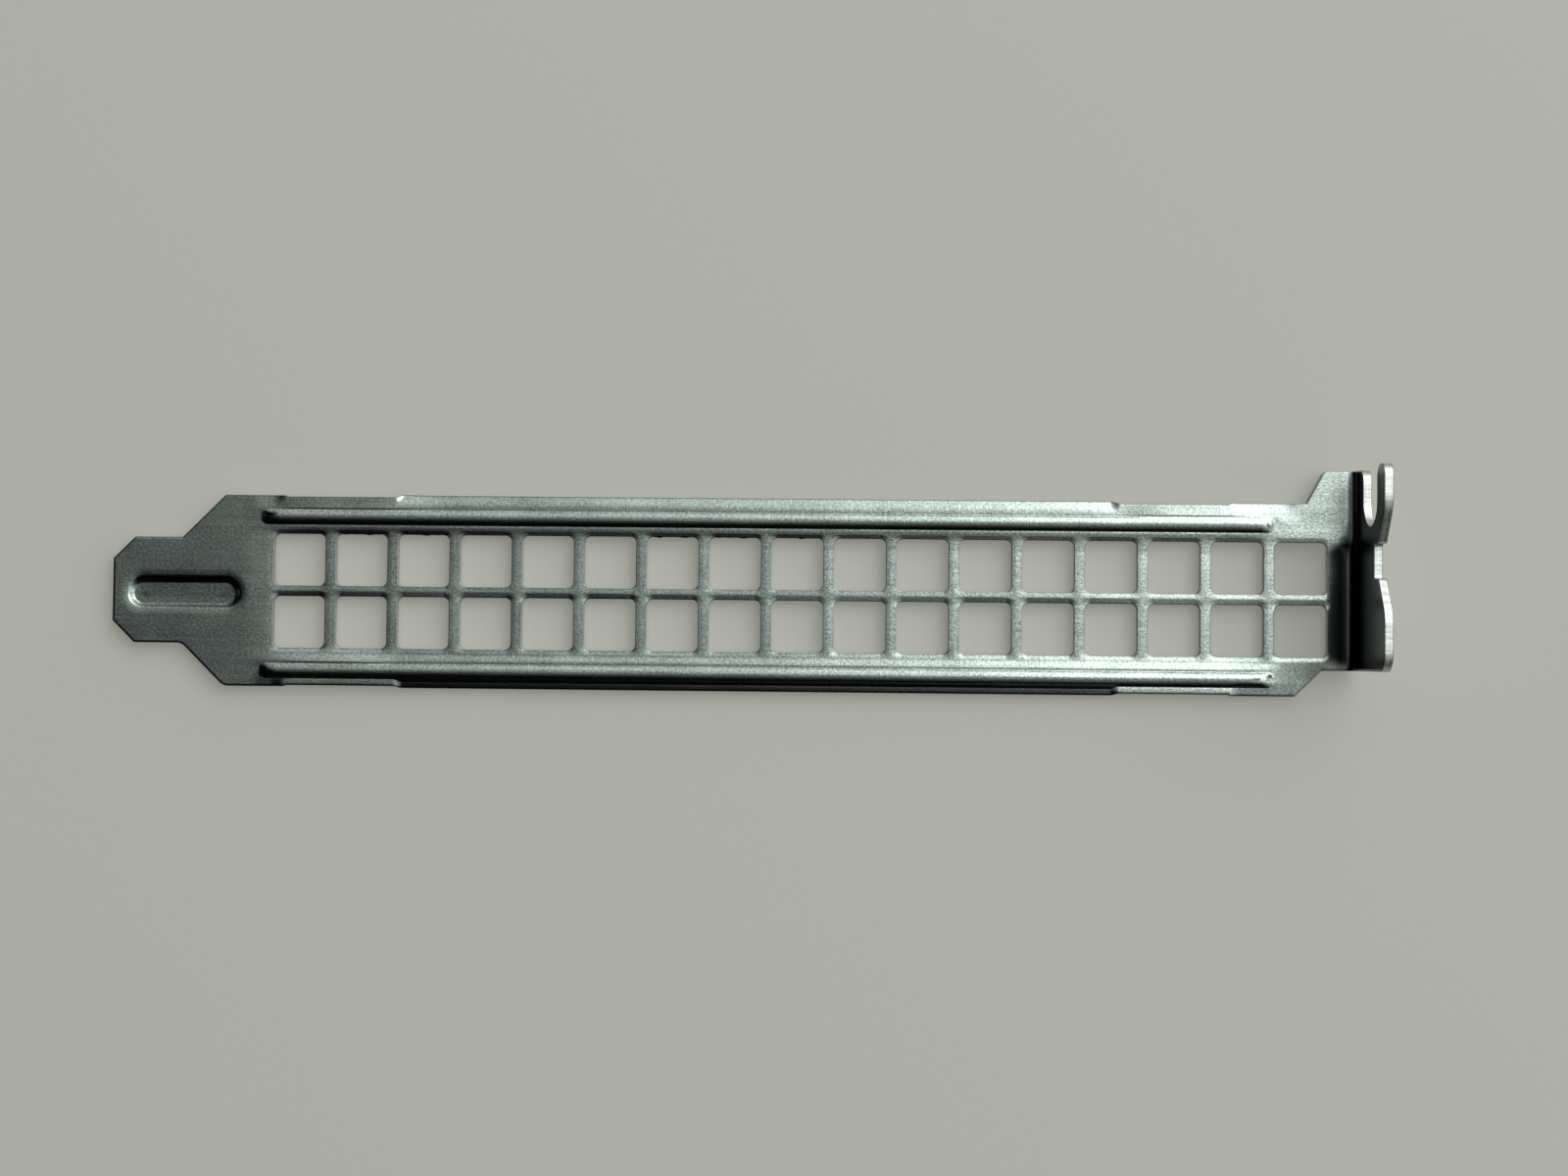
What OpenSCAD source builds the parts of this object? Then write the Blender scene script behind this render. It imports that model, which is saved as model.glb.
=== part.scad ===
// Slot cover bracket: one pressed and folded sheet that closes a card slot.
// It lies on its back. +X runs along the blade from the tongue to the screw
// flange, +Y crosses the blade and +Z points out of its front face. The origin
// is on the blade's back face, in the middle of the field of vents.

/* [Sheet] */
// Thickness of the sheet
sheet_t = 0.8; // [0.6:0.05:1]
// Inner radius of the fold at the screw flange
fold_r = 0.8; // [0.6:0.1:1.4]

/* [Blade] */
// Length from the tongue's tip to the flange's outer face
overall_l = 120; // [118.5:0.5:130]
// Width of the blade at its full stretches
blade_w = 18.4; // [18.2:0.1:20]
// How far the long edges step in along the middle
edge_step = 0.12; // [0.05:0.01:0.2]
// Length of the stepped stretch of the long edges
edge_step_l = 90.5; // [78:0.5:92]
// Middle of the stepped stretch and of the lips, from the flange's outer face
lip_mid = 58; // [55:0.5:61]

/* [Tongue] */
// Width of the tongue
tongue_w = 10.2; // [8:0.1:12]
// Length of the tongue's parallel edges and tip, up to the shoulders
tongue_l = 6.7; // [5:0.1:7.5]
// Chamfer at the tongue's corners
tongue_chamfer = 2.1; // [1:0.1:3]
// Corner radius of the low side's shoulder
shoulder_r = 1.2; // [0.4:0.1:2]

/* [Tongue rib] */
// Length of the rib's mouth
rib_l = 11.2; // [8:0.1:12]
// Width of the rib's mouth
rib_w = 3.4; // [2.6:0.1:4]
// Depth of the rib
rib_d = 0.55; // [0.3:0.05:0.7]
// How far the rib's walls lean in from mouth to floor
rib_lean = 0.5; // [0.3:0.05:0.7]
// Distance from the tongue's tip to the rib's mouth
rib_from_tip = 1.3; // [1:0.1:2]
// How far the rib lies below the blade's centreline
rib_drop = 0.4; // [0:0.1:1]

/* [Vents] */
// Side of the square vents
vent = 5; // [4:0.1:5.2]
// Corner radius of the vents
vent_r = 0.6; // [0.3:0.1:1]
// Distance between the middles of neighbouring vents
vent_pitch = 6; // [5.8:0.05:6.1]
// Columns of vents
vent_columns = 17; // [13:2:17]
// Distance from the last column's middle to the flange's outer face
vent_to_flange = 6; // [5.8:0.1:7]
// Width of the rolled rim round each vent
roll_w = 0.4; // [0.2:0.05:0.45]
// Depth of the rolled rim
roll_d = 0.08; // [0.04:0.01:0.15]

/* [Beads] */
// Width of the beads
bead_w = 1.6; // [1.2:0.1:1.6]
// Height of the beads above the front face
bead_h = 0.22; // [0.1:0.02:0.4]
// Width of the groove behind each bead
groove_w = 1.1; // [0.7:0.1:1.2]
// Distance from the blade's edge in to each bead's middle
bead_in = 1.8; // [1.75:0.05:1.9]
// Distance from the tongue's tip to the start of the beads
bead_from_tip = 14.1; // [12:0.1:18]
// Distance from the end of the beads to the flange's outer face
bead_to_flange = 8.3; // [7:0.1:12]

/* [Contact lips] */
// Length of the lips bent back along the long edges
lip_l = 69.6; // [50:0.2:76]
// Width of the lips
lip_w = 0.8; // [0.6:0.05:0.85]
// Angle of the lips below the blade
lip_angle = 18; // [8:1:30]
// Length of the twist at each end of a lip
lip_twist = 0.9; // [0.5:0.1:2]

/* [Flange tab] */
// Distance from the blade's centreline to the flange's high side
flange_high = 12.3; // [11.6:0.1:13]
// Distance from the blade's centreline to the flange's low side
flange_low = 6.7; // [6:0.1:8]
// Flat stretch of the tab's high side, up to the fold
high_side_l = 2.25; // [2.1:0.05:2.6]
// Length along the blade of the slope up to the high side
high_slope_l = 1.65; // [1:0.05:2]
// Corner radius where that slope meets the high side
high_side_r = 0.6; // [0.2:0.1:0.8]
// Flat stretch of the tab's low side, up to the fold
low_side_l = 2.4; // [2.2:0.05:2.6]

/* [Screw flange] */
// Height of the flange's free edge above the blade's back face
flange_h = 11.4; // [11:0.1:13]
// Corner radius at the low end of the flange's free edge
flange_r = 1.7; // [0.5:0.1:2.2]
// Height of the screw notch
notch_h = 4.9; // [4.2:0.1:5.2]
// Height of the notch's middle above the blade's back face
notch_mid = 6.15; // [5.6:0.05:6.3]
// Depth of the notch from the flange's high side
notch_l = 5.5; // [4.6:0.1:6]
// Corner radius at the notch's lower mouth
notch_r = 1.3; // [0.3:0.1:1.5]
// Corner radii at the end of the finger above the notch
finger_r = 1.2; // [0.3:0.1:1.4]

/* [Flange relief] */
// Distance from the blade's centreline to the relief's middle
relief_mid = 3.45; // [3.2:0.05:3.7]
// Depth of the relief in the flange's free edge
relief_d = 3.8; // [3:0.1:4.5]
// Width of the relief's floor
relief_w = 3.2; // [2:0.1:3.6]
// Height of the upright walls beside the floor
relief_wall = 1.5; // [1:0.1:2]
// Corner radius at the top of each wall
relief_wall_r = 0.5; // [0.3:0.1:1]
// Length of the slope beyond each wall
relief_slope_l = 3.3; // [2.5:0.1:3.8]
// Corner radius where each slope meets the flange's free edge
relief_top_r = 3; // [1:0.25:4]

/* [Hidden] */
$fn = 48;

zinc = [0.60, 0.64, 0.61];
over = 1;                                   // how far a cutter passes a face
sink = 0.1;                                 // how far a bead is sunk in the sheet
rim_over = 0.05;                            // how far a rim's cutter passes the front face
sharp_r = 0.3;                              // least radius of a punched corner
cap_lap = 0.25;                             // share of its radius by which a corner's cap laps over

flange_x = (vent_columns - 1) / 2 * vent_pitch + vent_to_flange;
tip_x = flange_x - overall_l;
fold_x = flange_x - sheet_t - fold_r;       // where the fold starts
fold_z = sheet_t + fold_r;                  // where the fold ends

blade_y = blade_w / 2;
step_y = blade_y - edge_step;
step_mid_x = flange_x - lip_mid;
tongue_y = tongue_w / 2;
neck_x = tip_x + tongue_l;
shoulder_x = neck_x + blade_y - tongue_y;   // shoulders run at 45 degrees

high_side_x = fold_x - high_side_l;
low_side_x = fold_x - low_side_l;           // its slope runs at 45 degrees

rib_y = -rib_drop;
rib_skin = 0.35;                            // how much wider the rib is behind
rib_x = tip_x + rib_from_tip + rib_l / 2;
rib_arm = rib_l / 2 - rib_w / 2;            // from the middle to an end's centre

bead_x0 = tip_x + bead_from_tip + bead_w / 2;
bead_x1 = flange_x - bead_to_flange - bead_w / 2;
bead_y = blade_y - bead_in;
lip_y = step_y - lip_w;                     // where the lips are bent

notch_y = flange_high - notch_l + notch_h / 2;
notch_z0 = notch_mid - notch_h / 2;
notch_z1 = notch_mid + notch_h / 2;
mouth_r = min(notch_r, 0.9 * (notch_z0 - fold_z));
finger_end_r = min(finger_r, 0.45 * (flange_h - notch_z1));

function unit(v) = v / norm(v);

// Radius of the arc that spans a width and rises to a height.
function arc_radius(width, rise) = (width * width / 4 + rise * rise) / (2 * rise);

// Half of the angle between the two edges of a corner.
function half_angle(before, corner, after) =
    acos(unit(before - corner) * unit(after - corner)) / 2;

// The middle of the arc that rounds a corner.
function arc_middle(before, corner, after, r) =
    corner + unit(unit(before - corner) + unit(after - corner))
        * r / sin(half_angle(before, corner, after));

// The two ends of that arc, or the corner itself where the radius is 0.
function arc_ends(before, corner, after, r) =
    r == 0 ? [corner] : [
        corner + unit(before - corner) * r / tan(half_angle(before, corner, after)),
        corner + unit(after - corner) * r / tan(half_angle(before, corner, after))
    ];

// The cap of a corner's circle that covers its straight cut and laps over it.
module corner_cap(before, corner, after, r) {
    middle = arc_middle(before, corner, after, r);
    out = corner - middle;
    cut = r * sin(half_angle(before, corner, after));
    translate(middle) rotate(atan2(out.y, out.x)) intersection() {
        circle(r);
        translate([cut - cap_lap * r, -r]) square(2 * r);
    }
}

// A polygon with a radius at each corner. Points run anticlockwise, each as
// [x, y, radius], and a radius of 0 leaves the corner sharp. The rounded
// corners are cut straight first. Caps then fill the outer ones and hollow the
// inner ones.
module rounded_polygon(corners) {
    count = len(corners);
    flat = [for (c = corners) [c[0], c[1]]];
    r = [for (c = corners) c[2]];
    prior = [for (i = [0:count - 1]) flat[(i + count - 1) % count]];
    next = [for (i = [0:count - 1]) flat[(i + 1) % count]];
    turn = [for (i = [0:count - 1]) cross(flat[i] - prior[i], next[i] - flat[i])];
    difference() {
        union() {
            polygon([
                for (i = [0:count - 1])
                    for (end = arc_ends(prior[i], flat[i], next[i], r[i])) end
            ]);
            for (i = [0:count - 1])
                if (r[i] > 0 && turn[i] > 0) corner_cap(prior[i], flat[i], next[i], r[i]);
        }
        for (i = [0:count - 1])
            if (r[i] > 0 && turn[i] < 0) corner_cap(prior[i], flat[i], next[i], r[i]);
    }
}

module vent_outline() {
    inner = vent - 2 * vent_r;
    square([vent, inner], center = true);
    square([inner, vent], center = true);
    for (sx = [-1, 1], sy = [-1, 1])
        translate([sx * inner / 2, sy * inner / 2]) circle(vent_r);
}

module at_vents() {
    for (column = [0:vent_columns - 1], side = [-0.5, 0.5])
        translate([(column - (vent_columns - 1) / 2) * vent_pitch, side * vent_pitch])
            children();
}

// Section of the rolled rim, measured out from a vent corner's middle.
module roll_section() {
    slope = roll_d / roll_w;
    low_z = -roll_d - slope * vent_r / 2;
    polygon([
        [0, low_z],
        [vent_r / 2, low_z],
        [vent_r + roll_w + rim_over, slope * rim_over],
        [0, slope * rim_over]
    ]);
}

// What the punch rolls off the front rim of a vent.
module vent_roll() {
    inner = vent / 2 - vent_r;
    for (turn = [0:90:270])
        rotate(turn) translate([inner, inner, sheet_t]) {
            rotate_extrude(angle = 90) roll_section();
            rotate([90, 0, 0]) linear_extrude(2 * inner) roll_section();
        }
}

// Outline of the flat blade from the tongue's tip to the start of the fold.
module blade_outline() {
    step_x0 = step_mid_x - edge_step_l / 2;
    step_x1 = step_mid_x + edge_step_l / 2;
    low_slope_x = low_side_x - (blade_y - flange_low);
    rounded_polygon([
        [tip_x, -tongue_y + tongue_chamfer, 0],
        [tip_x + tongue_chamfer, -tongue_y, sharp_r],
        [neck_x, -tongue_y, shoulder_r],
        [shoulder_x, -blade_y, shoulder_r],
        [step_x0, -blade_y, 0],
        [step_x0, -step_y, 0],
        [step_x1, -step_y, 0],
        [step_x1, -blade_y, 0],
        [low_slope_x, -blade_y, sharp_r],
        [low_side_x, -flange_low, sharp_r],
        [fold_x, -flange_low, 0],
        [fold_x, flange_high, 0],
        [high_side_x, flange_high, high_side_r],
        [high_side_x - high_slope_l, blade_y, sharp_r],
        [step_x1, blade_y, 0],
        [step_x1, step_y, 0],
        [step_x0, step_y, 0],
        [step_x0, blade_y, 0],
        [shoulder_x, blade_y, sharp_r],
        [neck_x, tongue_y, sharp_r],
        [tip_x + tongue_chamfer, tongue_y, sharp_r],
        [tip_x, tongue_y - tongue_chamfer, 0]
    ]);
}

// The flat sheet with its vents, before it is pressed and folded.
module blade_sheet() {
    difference() {
        linear_extrude(sheet_t)
            difference() {
                blade_outline();
                at_vents() vent_outline();
            }
        at_vents() vent_roll();
    }
}

// A long raised form with round ends. The child is half of its cross-section,
// on the right of the axis, and each end turns it about the vertical.
module long_form(x0, x1, y) {
    translate([x0, y, 0]) {
        rotate([90, 0, 90]) linear_extrude(x1 - x0) {
            children();
            mirror([1, 0]) children();
        }
        rotate([0, 0, 90]) rotate_extrude(angle = 180) children();
    }
    translate([x1, y, 0]) rotate([0, 0, -90]) rotate_extrude(angle = 180) children();
}

// Half of a shallow arc that stands on y = 0 and is sunk a little below it.
module half_arc(width, rise, below) {
    r = arc_radius(width, rise);
    intersection() {
        translate([0, rise - r]) circle(r);
        translate([0, -below]) square([width, rise + below + over]);
    }
}

// Half of the rib's section: half width w0 at height z0, w1 at height z1.
module half_wedge(w0, z0, w1, z1) {
    polygon([[0, z0], [w0, z0], [w1, z1], [0, z1]]);
}

module beads() {
    for (side = [-1, 1])
        translate([0, 0, sheet_t])
            long_form(bead_x0, bead_x1, side * bead_y) half_arc(bead_w, bead_h, sink);
}

module bead_grooves() {
    for (side = [-1, 1])
        long_form(bead_x0, bead_x1, side * bead_y) half_arc(groove_w, bead_h, sink);
}

// The rib stands proud behind the tongue and is hollow from the front.
module rib_back() {
    half_w = rib_w / 2 + rib_skin;
    long_form(rib_x - rib_arm, rib_x + rib_arm, rib_y)
        half_wedge(half_w - rib_lean, -rib_d, half_w + rib_lean * sink / rib_d, sink);
}

module rib_hollow() {
    half_w = rib_w / 2;
    lean = rib_lean / rib_d;
    long_form(rib_x - rib_arm, rib_x + rib_arm, rib_y)
        half_wedge(half_w - rib_lean, sheet_t - rib_d, half_w + lean * sink, sheet_t + sink);
}

// Section of a lip across the blade, from the bend outwards.
module lip_section(angle) {
    rotate(-angle) square([lip_w, sheet_t]);
    intersection() {
        circle(sheet_t);
        polygon([
            [0, 0],
            [0, 2 * sheet_t],
            [2 * sheet_t * sin(angle), 2 * sheet_t * cos(angle)]
        ]);
    }
}

module lip_strip(x0, length, angle) {
    translate([x0, lip_y, 0]) rotate([90, 0, 90]) linear_extrude(length) lip_section(angle);
}

// One lip with a twist at each end, where it runs back into the flat edge.
module lip() {
    slice = 0.02;
    x0 = step_mid_x - lip_l / 2;
    x1 = step_mid_x + lip_l / 2;
    lip_strip(x0 + lip_twist, lip_l - 2 * lip_twist, lip_angle);
    hull() {
        translate([x0, lip_y, 0]) cube([slice, lip_w, sheet_t]);
        lip_strip(x0 + lip_twist, slice, lip_angle, $fn = 32);
    }
    hull() {
        lip_strip(x1 - lip_twist - slice, slice, lip_angle, $fn = 32);
        translate([x1 - slice, lip_y, 0]) cube([slice, lip_w, sheet_t]);
    }
}

module lip_gap() {
    translate([step_mid_x - lip_l / 2, lip_y, -over]) cube([lip_l, blade_w, sheet_t + 2 * over]);
}

// The sheet turned up through a right angle at the end of the tab.
module fold() {
    translate([fold_x, flange_high, fold_z]) rotate([90, 0, 0])
        linear_extrude(flange_high + flange_low)
            intersection() {
                difference() {
                    circle(fold_r + sheet_t);
                    circle(fold_r);
                }
                translate([0, -2 * fold_z]) square(2 * fold_z);
            }
}

// Outline of the flange above the fold, drawn as [y, z].
module flange_outline() {
    floor_z = flange_h - relief_d;
    wall_z = floor_z + relief_wall;
    half_w = relief_w / 2;
    slope_y = half_w + relief_slope_l;
    difference() {
        rounded_polygon([
            [-flange_low, fold_z, 0],
            [flange_high, fold_z, 0],
            [flange_high, notch_z0, mouth_r],
            [notch_y, notch_z0, 0],
            [notch_y, notch_z1, 0],
            [flange_high, notch_z1, finger_end_r],
            [flange_high, flange_h, finger_end_r],
            [relief_mid + slope_y, flange_h, relief_top_r],
            [relief_mid + half_w, wall_z, relief_wall_r],
            [relief_mid + half_w, floor_z, sharp_r],
            [relief_mid - half_w, floor_z, sharp_r],
            [relief_mid - half_w, wall_z, relief_wall_r],
            [relief_mid - slope_y, flange_h, relief_top_r],
            [-flange_low, flange_h, flange_r]
        ]);
        translate([notch_y, notch_mid]) circle(notch_h / 2);
    }
}

module flange() {
    translate([flange_x - sheet_t, 0, 0])
        rotate([90, 0, 90]) linear_extrude(sheet_t) flange_outline();
}

module slot_cover() {
    color(zinc) {
        difference() {
            union() {
                difference() {
                    blade_sheet();
                    for (side = [0, 1]) mirror([0, side, 0]) lip_gap();
                }
                beads();
                rib_back();
            }
            bead_grooves();
            rib_hollow();
        }
        for (side = [0, 1]) mirror([0, side, 0]) lip();
        fold();
        flange();
    }
}

slot_cover();
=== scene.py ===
import bpy
import math
import numpy as np
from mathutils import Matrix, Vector
from mathutils.geometry import delaunay_2d_cdt


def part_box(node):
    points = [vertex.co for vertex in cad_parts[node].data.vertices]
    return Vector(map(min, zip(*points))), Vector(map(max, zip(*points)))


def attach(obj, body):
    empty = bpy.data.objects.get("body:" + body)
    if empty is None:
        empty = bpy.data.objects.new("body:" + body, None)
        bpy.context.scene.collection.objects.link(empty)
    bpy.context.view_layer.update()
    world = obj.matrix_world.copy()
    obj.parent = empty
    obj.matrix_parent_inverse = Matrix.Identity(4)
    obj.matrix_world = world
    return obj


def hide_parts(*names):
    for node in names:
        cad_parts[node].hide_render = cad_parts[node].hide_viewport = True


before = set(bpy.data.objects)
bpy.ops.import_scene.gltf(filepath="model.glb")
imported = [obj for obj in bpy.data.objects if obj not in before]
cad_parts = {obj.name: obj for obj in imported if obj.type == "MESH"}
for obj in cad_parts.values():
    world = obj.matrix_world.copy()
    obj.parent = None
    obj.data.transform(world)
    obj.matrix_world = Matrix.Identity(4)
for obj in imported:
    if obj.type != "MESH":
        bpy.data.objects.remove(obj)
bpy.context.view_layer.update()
cadLow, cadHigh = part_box("slot_cover")
mm = 0.001
print("frame loaded")

# Everything below is worked out in millimetres on the flat sheet: u runs along the blade from the
# tongue to the screw flange and on up the flange, v runs across. Both are 0 at the middle of the
# vents. The high side is where v is positive. The press then gives the sheet its form.
tipU = cadLow.x / mm
flangeFace = cadHigh.x / mm
highSide = cadHigh.y / mm
flangeTop = cadHigh.z / mm

sheet = {
    "thickness": 0.8,
    "foldRadius": 0.8,          # inside the fold
    "bladeWidth": 18.4,
    "edgeStep": 0.12,           # the long edges step in by this much
    "edgeStepLength": 90.5,
    "edgeStepMiddle": 58.0,     # from the flange's face, also the middle of the lips
    "edgeStepSlope": 0.08,      # half the length over which they step
    "sharpRadius": 0.3,         # least corner radius of the blanking tool
    "edgeRollWidth": 0.26,      # how far in the blanking punch rolled the rim
    "edgeRollDepth": 0.05,
    "highEdgeRoll": 0.35,       # share of that depth on the high side
    "highEdge": (8.2, 8.8),     # where across the sheet that share sets in
    "rimBreak": (0.06, 0.02),   # width and depth of the small break along every cut
    "paintedShade": 0.1,            # how far the painted shade along each cut reaches round the vents
    "edgeShadeWidth": 0.19,          # and along the outline
}
tongue = {
    "width": 10.2,
    "length": 6.7,
    "chamfer": 2.1,
    "shoulderRadius": 1.2,      # on the low side only
}
vents = {
    "size": 5.0,
    "radius": 0.6,
    "pitch": 6.0,
    "columns": 17,
    "rows": 2,
    "outerRoll": (0.4, 0.07),   # width and drop of the rolled rim toward the beads
    "lowRowRoll": (0.52, 0.11), # toward the web between the rows
    "highRowRoll": (0.52, 0.035),
    "leftRoll": (0.55, 0.018),
    "rightRoll": (0.4, 0.003),
    "rollSoftness": 0.12,
    "rollEnd": 0.6,             # a roll has died out this share of its width past its width
    "burrRoll": 0.012,          # more of it on every second vent
    "uneven": 0.2,              # how much the rolls differ from vent to vent
    "unevenTurns": (7.3, 4.1, 2.7),     # radians per column, per row and round a corner
    "tornColumns": (-7, -6, -2, -1, 0), # high row, vents whose outer rim is a little torn
    "tornDepth": 0.1,
    "tornFade": 0.6,            # toward the vent's corners
    "tornWaves": ((2.3, 1, 1.0), (5.1, 2, 1.0), (9.7, 0, 0.6)), # radians per mm, per column, height
    "sideSegments": 12,
    "cornerSegments": 6,
}
beads = {
    "width": 1.65,
    "height": 0.31,
    "grooveWidth": 1.1,
    "grooveDepth": 0.22,
    "inset": 1.8,               # from the blade's edge to the middle of the bead
    "shift": -0.17,             # both beads lie a little to the low side
    "fade": 1.3,                # the ends rise over this length
    "highFoot": 0.3,            # how much steeper they fall to the high side
    "footDip": (0.01, 0.09),    # depth and half width of the line along each foot
    "footDipGap": 0.02,         # how far outside the foot it runs
    "footDipFade": 3.0,
    "fromTip": 14.1,
    "toFlange": 8.3,
    "footSoftness": 0.014,
    "heldUp": 0.65,             # share of the height that the sheet beside an end keeps
    "heldRun": (-1.5, 7.0),     # from the end inward, where this comes up
    "heldFrom": -0.1,           # and across, from the middle of the bead
    "heldAtEdge": 0.5,          # share of it that is left at the high edge
    "highSettle": (-1.0, 5.0),  # it goes down again about the ends of the lips
    "lowSettle": (-5.0, 2.0),
}
tray = {
    "depth": 0.175,             # the vents lie in a shallow tray between the beads
    "highWall": (5.58, 6.28),   # where its sloping walls start and end
    "lowWall": (6.05, 6.62),
    "highRise": 0.3,            # share of the depth that its floor already rises before the high wall
    "highRiseStart": 4.3,
    "leftEnd": (-53.4, -47.0),  # u where each end begins and where the tray is at its depth
    "rightEnd": (47.0, 41.5),
    "softness": 0.1,
}
margins = {
    "slope": 0.12,              # the edges hang a little beside the ends of the beads
    "start": 7.9,
    "softness": 0.1,
    "left": (-52.6, -49.3),     # u where they do, on the left and on the right
    "right": (41.3, 48.3),
    "ease": 0.8,                # length over which this comes and goes
    "foldEase": 2.0,            # and over which it goes toward the fold
    "curl": 0.045,              # the sheet rises a little toward the fold
    "curlStart": 46.0,
    "curlSoftness": 0.8,
    "lowHang": 0.1,             # its low corner there hangs
    "lowHangRun": (45.0, 49.0),
    "lowHangStart": -5.6,
    "lowHangSoftness": 0.3,
    "foldDip": 0.17,            # and the narrow strip behind the last vents dips
    "foldDipStart": 50.35,
    "foldDipSide": (5.6, 4.4),
}
rib = {
    "length": 11.2,
    "width": 3.4,
    "fromTip": 1.3,
    "drop": 0.4,                # toward the low side
    "wallHigh": (1.15, 1.75),   # inner and outer distance of each wall from the spine
    "wallLow": (0.98, 1.3),
    "wallTip": (1.1, 1.5),
    "wallInner": (1.02, 1.58),
    "softness": 0.08,
    "hollow": 0.02,             # how much the floor rises toward its walls
    "dish": 0.07,               # the flat round the mouth is drawn in a little
    "dishWidth": 0.85,
    "skin": 0.35,               # how much wider the back of it is
    "lean": 0.5,                # how far its walls lean in there
    "backSoftness": 0.06,
}
# Painted shade: the plating's colour is darkened where little light reaches it.
shadeAreas = {
    "strip": (50.3, 51.7),      # painted shade between the last vents and the fold, where the flange keeps the light off
    "highSide": (6.0, 4.8),     # less so on the high side
    "highShare": 0.25,
    "cornerSide": (-5.5, -6.0), # and from further back in the low corner
    "cornerReach": 2.2,
    "flange": 0.85,             # how dark the painted shade is on the flange
    "flangeRun": (-0.2, 0.6),   # which starts here, from the start of the fold
    "ribWall": 0.8,             # and on the rib's high wall
    "ribWallSide": (0.3, 0.8),  # how far a wall must face the high side for that
    "ribWallSpread": 6.0,
}
lips = {
    "length": 69.6,
    "width": 0.8,
    "angle": 18.0,
    "twist": 0.9,               # length over which each end turns down
    "bendWidth": 0.24,
}
flange = {
    "low": 6.7,
    "highSideLength": 2.25,
    "highSlope": 1.65,
    "highRadius": 0.6,
    "lowSideLength": 2.4,
    "cornerRadius": 1.7,        # low end of the free edge
    "notchHeight": 4.9,
    "notchMiddle": 6.15,
    "notchDepth": 5.5,
    "notchSegments": 24,
    "mouthRadius": 1.3,
    "fingerRadius": 1.2,
    "reliefMiddle": 3.45,
    "reliefDepth": 3.8,
    "reliefWidth": 3.2,
    "reliefWall": 1.5,
    "wallRadius": 0.5,
    "slopeLength": 3.3,
    "slopeRadius": 3.0,
}

bladeV = sheet["bladeWidth"] / 2
stepV = bladeV - sheet["edgeStep"]
outerFold = sheet["foldRadius"] + sheet["thickness"]
foldStart = flangeFace - outerFold
foldEnd = foldStart + outerFold * math.pi / 2
ribDepth = -cadLow.z / mm
lipBend = stepV - lips["width"]
lipMiddle = flangeFace - sheet["edgeStepMiddle"]
fieldU = vents["columns"] * vents["pitch"] / 2
fieldV = vents["rows"] * vents["pitch"] / 2
# The middle line of the rib and of each bead, as its two ends in u and its place across.
ribSpine = (tipU + rib["fromTip"] + rib["width"] / 2,
            tipU + rib["fromTip"] + rib["length"] - rib["width"] / 2, -rib["drop"])
beadSpines = [(tipU + beads["fromTip"] + beads["width"] / 2,
               flangeFace - beads["toFlange"] - beads["width"] / 2,
               side * (bladeV - beads["inset"]) + beads["shift"]) for side in (1, -1)]

# How closely the points lie. A ring is a distance out from a rim or a spine, or in from the outline.
meshing = {
    "spacing": 0.95,            # on plain flats
    "firstLine": -9.05,         # v of the first line of them
    "step": 0.5,                # along the outline and round the vents
    "arcStep": 9.0,             # degrees
    "arcClear": 0.1,            # columns keep this far from the ends of a spine
    "ribStep": 0.6,
    "ribEndSteps": 22,
    "beadStep": 1.0,
    "beadEndSteps": 12,
    "lipColumns": 10,
    "lipClear": 0.4,            # plain columns keep this far from a lip's end and from the fold
    "lipOver": 0.1,             # the close ones run on this far past it
    "foldColumns": 19,
    "flangeColumns": 12,
    "clearOfVents": 0.6,        # plain points keep this far away
    "clearOfRib": 2.8,
    "clearOfBeads": 1.35,
    "clearOfRings": 0.06,
    "clearOfFold": 3.0,
    "roundest": 0.8,            # cosine of the sharpest turn of a cut edge that is shaded round
}
ventRings = [0, 0.02, 0.06, 0.13, 0.22, 0.32, 0.42]
fieldRings = [0.1, 0.22, 0.34, 0.47]    # where the vents' rolled rims run out
lipRings = [0.13, 0.25, 0.4]
beadRings = [0.14, 0.28, 0.4, 0.5, 0.58, 0.65, 0.71, 0.77, 0.83, 0.89, 0.95]
ribRings = [0.4, 0.8, 0.88, 0.95, 1.02, 1.08, 1.14, 1.2, 1.26, 1.33, 1.4, 1.48, 1.56, 1.64, 1.72, 1.8,
            1.92, 2.07, 2.25, 2.5]
edgeRings = [0.025, 0.07, 0.13, 0.19, 0.26]
edgeBand = edgeRings[-1] + 0.1          # along the outline, plain points stay out of it
# Levels of a cut edge, as a share of the thickness and how far the cut lies back there.
cutLevels = [(0.9, 0.0), (0.6, 0.004), (0.54, 0.016), (0.05, 0.022)]
hair = 0.01                             # smaller than any gap between points
tolerance = 1e-4
pastRim = 1.2                           # a rolled rim's curve runs on a little beyond the cut


def newObject(name, data):
    made = bpy.data.objects.new(name, data)
    bpy.context.scene.collection.objects.link(made)
    return made


def flangeU(height):
    # Where a height on the upright flange lies on the flat sheet.
    return foldEnd + height - outerFold


def unit(vectors):
    return vectors / np.linalg.norm(vectors, axis=-1, keepdims=True)


def toRight(before, after):
    # Which way is right for someone who walks along the steps before and after each point.
    along = unit(before) + unit(after)
    return unit(np.stack([along[:, 1], -along[:, 0]], 1))


# The outline of the flat blank.

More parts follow.
